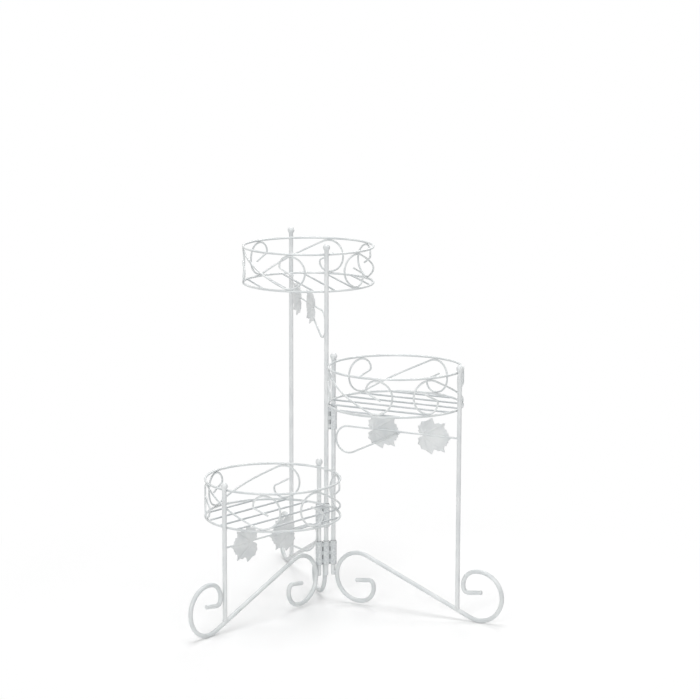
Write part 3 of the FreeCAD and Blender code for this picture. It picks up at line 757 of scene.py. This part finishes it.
# A tack: the length of its row, then how far a puddle reaches past the slot, inwards and up.
TACK_LENGTH = 5.0
TACK_LAP = 1.4
TACK_DEPTH = 2.7
TACK_RIPPLE = 1.2
ROOT_RUN_WIDTH = 2.7
ROOT_RUN_DEPTH = 2.3
ROOT_RUN_SINK = 0.3
ROOT_RUN_SETBACK = 1.0
PARTING_WIDTH = 0.65
PARTING_HEIGHT = 0.5
STEEL_ROUGHNESS = 0.55
SCALE_MARK_WIDTH = 3.0
SCALE_MARK_DETAIL = 5

# Dark steel grey, lighter in marks where the scale came off: painted shade for the slots and for
# the gaps at the sleeves' ends.
dark_steel_painted_shade = bpy.data.materials.new("painted_shade_dark_steel_in_gaps")
dark_steel_painted_shade.use_nodes = True
place = add_node(dark_steel_painted_shade, "ShaderNodeTexCoord", {})["Object"]
scale_marks = add_node(
    dark_steel_painted_shade, "ShaderNodeTexNoise",
    {"Scale": 1 / (SCALE_MARK_WIDTH * MM), "Detail": SCALE_MARK_DETAIL}, {"Vector": place},
)
tint = add_node(
    dark_steel_painted_shade, "ShaderNodeMix",
    {"data_type": "RGBA", MIX_FIRST: linear("#5E6062"), MIX_SECOND: linear("#8A8D8F")},
    {"Factor": scale_marks["Fac"]},
)[MIX_RESULT]
surface = dark_steel_painted_shade.node_tree.nodes["Principled BSDF"]
surface.inputs["Metallic"].default_value = 1
surface.inputs["Roughness"].default_value = STEEL_ROUGHNESS
dark_steel_painted_shade.node_tree.links.new(tint, surface.inputs["Base Color"])

tall_middle, next_middle = (node_middle(panel + "_inner_post").xy for panel in ("tall", "medium"))
row = next_middle - tall_middle
pitch = row.length / MM
row_place = (
    Matrix.Translation((tall_middle.x, tall_middle.y, 0))
    @ Matrix.Rotation(math.atan2(row.y, row.x), 4, "Z")
    @ Matrix.Scale(MM, 4)
)
for hinge, gaps in SLOT_GAPS.items():
    in_row = len(HINGES[hinge]) > 1
    low, high = heights(hinge + ("_tall_sleeve" if in_row else "_sleeve"))
    # The upper right sleeve is tacked to the tall post itself, which is thinner than a sleeve.
    left = SLEEVE_DIAMETER if in_row else POST_DIAMETER
    tacks, gap_shade = bmesh.new(), bmesh.new()
    for place in gaps:
        middle = place * pitch + (left / 2 + pitch - SLEEVE_DIAMETER / 2) / 2
        width = pitch - (left + SLEEVE_DIAMETER) / 2
        centre = Vector((middle, 0, (low + high) / 2))
        # The dark block in the slot is painted shade.
        size = Vector((width + 2 * SLOT_SHADE_LAP, SLOT_SHADE_THICKNESS, high - low - 2 * SLOT_SHADE_SETBACK))
        bmesh.ops.create_cube(gap_shade, size=1, matrix=Matrix.LocRotScale(centre, None, size))
        for step in TACK_STEPS:
            spot = centre + Vector((0, 0, step * TACK_PITCH))
            half = Vector((0, 0, TACK_LENGTH / 2))
            reach = Vector((width / 2 + TACK_LAP, TACK_DEPTH, TACK_RIPPLE))
            add_bead(tacks, spot - half, spot + half, reach)
        if not in_row:
            # A thin run of weld fills the wider slot on the side of the post.
            aside = middle - width / 2 + ROOT_RUN_WIDTH / 2 - ROOT_RUN_SINK
            reach = Vector((ROOT_RUN_WIDTH / 2, ROOT_RUN_DEPTH, TACK_RIPPLE))
            add_bead(tacks, Vector((aside, 0, low + ROOT_RUN_SETBACK)),
                     Vector((aside, 0, high - ROOT_RUN_SETBACK)), reach)
    stand_up(tacks, hinge + "_tacks", row_place, "stand", coat_on_weld, "weld_bead",
             hinge + "_welds")
    # The skin of powder cracks where a post turns in its sleeve.  The dark ring put there is
    # partly that crack and partly painted shade of the gap between post and sleeve.
    for middle in sleeve_middles[hinge]:
        spot = row_place.inverted() @ middle
        inside = POST_DIAMETER / 2 + SLEEVE_CLEARANCE
        outside = inside + PARTING_WIDTH
        for foot in (low - PARTING_HEIGHT, high):
            head = foot + PARTING_HEIGHT
            band = turned([(inside, foot), (outside, foot), (outside, head), (inside, head)])
            bmesh.ops.translate(band, verts=band.verts, vec=(spot.x, spot.y, 0))
            add_shape(gap_shade, band)
    stand_up(gap_shade, hinge + "_slots", row_place, "stand", dark_steel_painted_shade, "weld_bead")

# Studio: matt white paper that runs out to plain white, a large softbox in front on the left,
# another overhead, weak ones on the right and behind, and an even sky.
FLOOR_SIZE = 60.0
PAPER_ROUGHNESS = 0.9
SHADOW_REACH = 0.4
SHADING_SHARE = 0.95
WHITE = 1.0
SKY_LIGHT = 0.24
# How bright the lit paper is under these lamps, of the 1 that makes it plain white.
PAPER_LIGHT = 0.895


def background_rays(material):
    """1 for the rays that show the background: what the camera sees, also in gloss and glass."""
    ray = add_node(material, "ShaderNodeLightPath", {})
    mirrored = add_node(
        material, "ShaderNodeMath", {"operation": "MAXIMUM"},
        {0: ray["Is Glossy Ray"], 1: ray["Is Transmission Ray"]},
    )["Value"]
    return add_node(
        material, "ShaderNodeMath", {"operation": "MAXIMUM"},
        {0: ray["Is Camera Ray"], 1: mirrored},
    )["Value"]


floor_sheet = bmesh.new()
bmesh.ops.create_grid(floor_sheet, x_segments=1, y_segments=1, size=FLOOR_SIZE / 2)
floor_mesh = bpy.data.meshes.new("floor")
floor_sheet.to_mesh(floor_mesh)
floor_sheet.free()
floor_piece = bpy.data.objects.new("floor", floor_mesh)
bpy.context.scene.collection.objects.link(floor_piece)
paper = bpy.data.materials.new("matt_white_paper_floor")
paper.use_nodes = True
floor_mesh.materials.append(paper)
matt = paper.node_tree.nodes["Principled BSDF"]
matt.inputs["Base Color"].default_value = linear("#F2F2F2")
matt.inputs["Roughness"].default_value = PAPER_ROUGHNESS
# The camera sees the paper's shading near the feet, and plain white where it has no shadows.
spot = add_node(paper, "ShaderNodeTexCoord", {})["Object"]
away = add_node(paper, "ShaderNodeVectorMath", {"operation": "LENGTH"}, {"Vector": spot})["Value"]
shaded = add_node(
    paper, "ShaderNodeMapRange",
    {"From Min": SHADOW_REACH, "From Max": 2 * SHADOW_REACH, "To Min": SHADING_SHARE, "To Max": 0,
     "interpolation_type": "SMOOTHSTEP"},
    {"Value": away},
)["Result"]
white_part = add_node(
    paper, "ShaderNodeMath", {"operation": "SUBTRACT", 0: 1}, {1: shaded}
)["Value"]
# The white part glows with what the lit paper lacks of white, so that only shadows show.
lit = add_node(
    paper, "ShaderNodeMath", {"operation": "MULTIPLY", 1: PAPER_LIGHT}, {0: shaded}
)["Value"]
missing = add_node(
    paper, "ShaderNodeMath", {"operation": "SUBTRACT", 0: WHITE}, {1: lit}
)["Value"]
strength = add_node(
    paper, "ShaderNodeMath", {"operation": "DIVIDE"}, {0: missing, 1: white_part}
)["Value"]
glow = add_node(
    paper, "ShaderNodeEmission", {"Color": (1, 1, 1, 1)}, {"Strength": strength}
)["Emission"]
seen_part = add_node(
    paper, "ShaderNodeMath", {"operation": "MULTIPLY"},
    {0: white_part, 1: background_rays(paper)},
)["Value"]
both = add_node(
    paper, "ShaderNodeMixShader", {}, {"Fac": seen_part, 1: matt.outputs["BSDF"], 2: glow}
)["Shader"]
paper.node_tree.links.new(both, paper.node_tree.nodes["Material Output"].inputs["Surface"])

world = bpy.data.worlds.new("studio")
bpy.context.scene.world = world
world.use_nodes = True
sky = world.node_tree.nodes["Background"]
sky.inputs["Color"].default_value = (1, 1, 1, 1)
level = add_node(
    world, "ShaderNodeMapRange", {"To Min": SKY_LIGHT, "To Max": WHITE},
    {"Value": background_rays(world)},
)["Result"]
world.node_tree.links.new(level, sky.inputs["Strength"])

low, high = cad_corners
stand_middle = (low + high) / 2
for name, place, width, power in (
    ("softbox_left", Vector((-1.6, -4.6, 2.2)), 2.0, 98),
    ("softbox_overhead", Vector((0, 0, 3.4)), 2.0, 60),
    ("softbox_right", Vector((3.4, -1.6, 2.6)), 1.6, 20),
    ("softbox_behind", Vector((0.6, 3.6, 3.0)), 1.6, 42),
):
    lamp = bpy.data.lights.new(name, "AREA")
    lamp.shape = "SQUARE"
    lamp.size = width
    lamp.energy = power
    box = bpy.data.objects.new(name, lamp)
    box.location = place
    box.rotation_euler = (stand_middle - place).to_track_quat("-Z", "Y").to_euler()
    bpy.context.scene.collection.objects.link(box)

# Camera: a long lens a little over 4 m in front of the stand and 1.2 m up, which looks slightly
# down on it.  Lengths are in millimetres, angles in degrees.
CAMERA_PLACE = (1.8, -4254.2, 1224.0)
CAMERA_PITCH = 10.14
CAMERA_ROLL = 0.17
FOCAL_PIXELS = 2379.4
PICTURE_PIXELS = 700
SENSOR = 36.0

camera_data = bpy.data.cameras.new("camera")
camera_data.sensor_width = SENSOR
camera_data.lens = FOCAL_PIXELS * SENSOR / PICTURE_PIXELS
camera_data.clip_end = 100
camera = bpy.data.objects.new("camera", camera_data)
camera.matrix_world = (
    Matrix.Translation(Vector(CAMERA_PLACE) * MM)
    @ Matrix.Rotation(math.radians(90 - CAMERA_PITCH), 4, "X")
    @ Matrix.Rotation(math.radians(CAMERA_ROLL), 4, "Z")
)
bpy.context.scene.collection.objects.link(camera)
bpy.context.scene.camera = camera
bpy.context.scene.view_settings.view_transform = "Standard"
